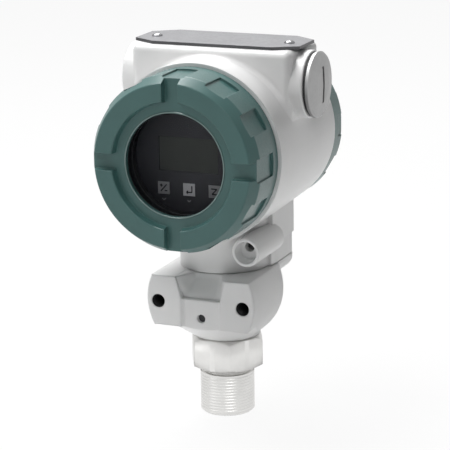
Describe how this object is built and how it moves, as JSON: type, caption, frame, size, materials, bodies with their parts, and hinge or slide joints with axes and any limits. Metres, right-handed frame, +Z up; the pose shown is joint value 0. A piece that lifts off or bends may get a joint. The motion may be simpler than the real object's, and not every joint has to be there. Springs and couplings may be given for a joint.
{
  "type": "pressure transmitter",
  "caption": "Gauge pressure transmitter: field housing with a round display window, blind rear cover, conduit entries, sensor casting and threaded process connector.",
  "frame": {"origin": "on the process thread's axis, at the level of its end face", "axes": "+Z up along the thread, -Y out of the display window, +X towards the plugged conduit entry"},
  "size_m": [0.0983, 0.1227, 0.1884],
  "materials": {
    "paint": "semi-gloss",
    "cover": "satin",
    "steel": "turned",
    "plate": "brushed",
    "plug": "satin",
    "ring": "satin",
    "brass": "plain",
    "rubber": "matt",
    "black_plastic": "matt",
    "display": "gloss",
    "key": "matt",
    "board": "satin",
    "glass": "clear"
  },
  "bodies": {
    "sensor_module": {"process_connector": "steel", "sensor_casting": "paint", "sensor_cell": "steel", "vent_plug": "black_plastic", "neck_oring": "rubber", "sensor_board": "board"},
    "housing": {"housing": "paint", "nameplate": "plate", "nameplate_rivets": "steel", "display_case": "black_plastic", "lcd_panel": "display", "display_board": "board", "key_switches": "black_plastic", "main_board": "board", "board_posts": "brass", "board_screws": "steel", "board_components": "black_plastic", "sensor_lead": "rubber", "terminal_block": "black_plastic", "terminal_clamps": "brass", "terminal_screws": "steel", "terminal_block_screws": "steel", "ground_screw": "steel"},
    "front_seal": {"front_cover_oring": "rubber"},
    "front_cover": {"front_cover": "cover", "window_glass": "glass", "glass_gasket": "rubber", "glass_clamp_ring": "ring"},
    "rear_seal": {"rear_cover_oring": "rubber"},
    "rear_cover": {"rear_cover": "cover"},
    "plug_seal": {"conduit_plug_oring": "rubber"},
    "conduit_plug": {"conduit_plug": "plug"},
    "key_left": {"key_left": "key"},
    "key_middle": {"key_middle": "key"},
    "key_right": {"key_right": "key"},
    "zero_adjuster": {"zero_adjuster": "brass"}
  },
  "joints": [
    {"name": "housing_turn", "type": "hinge", "parent": "sensor_module", "child": "housing", "pos_m": [0, 0, 0.083], "axis": [0, 0, 1], "range_deg": [-180, 180]},
    {"name": "front_cover_travel", "type": "slide", "parent": "housing", "child": "front_seal", "axis": [0, -1, 0], "range_m": [0, 0.0102]},
    {"name": "front_cover_turn", "type": "hinge", "parent": "front_seal", "child": "front_cover", "pos_m": [0, -0.05, 0.1378], "axis": [0, -1, 0], "range_deg": [0, 1800]},
    {"name": "rear_cover_travel", "type": "slide", "parent": "housing", "child": "rear_seal", "axis": [0, 1, 0], "range_m": [0, 0.0102]},
    {"name": "rear_cover_turn", "type": "hinge", "parent": "rear_seal", "child": "rear_cover", "pos_m": [0, 0.045, 0.1378], "axis": [0, 1, 0], "range_deg": [0, 1800]},
    {"name": "plug_travel", "type": "slide", "parent": "housing", "child": "plug_seal", "axis": [1, 0, 0], "range_m": [0, 0.0122]},
    {"name": "plug_turn", "type": "hinge", "parent": "plug_seal", "child": "conduit_plug", "pos_m": [0.04, 0, 0.1679], "axis": [1, 0, 0], "range_deg": [0, 2880]},
    {"name": "key_left_press", "type": "slide", "parent": "housing", "child": "key_left", "axis": [0, 1, 0], "range_m": [0, 0.0005], "stiffness_N_per_m": 500},
    {"name": "key_middle_press", "type": "slide", "parent": "housing", "child": "key_middle", "axis": [0, 1, 0], "range_m": [0, 0.0005], "stiffness_N_per_m": 500},
    {"name": "key_right_press", "type": "slide", "parent": "housing", "child": "key_right", "axis": [0, 1, 0], "range_m": [0, 0.0005], "stiffness_N_per_m": 500},
    {"name": "zero_adjuster_turn", "type": "hinge", "parent": "housing", "child": "zero_adjuster", "pos_m": [0.0227, -0.0177, 0.0919], "axis": [0, -1, 0], "continuous": true}
  ],
  "couplings": [
    {"joint": "front_cover_travel", "follows": "front_cover_turn", "m_per_rad": 0.00031831},
    {"joint": "rear_cover_travel", "follows": "rear_cover_turn", "m_per_rad": 0.00031831},
    {"joint": "plug_travel", "follows": "plug_turn", "m_per_rad": 0.00023873}
  ]
}
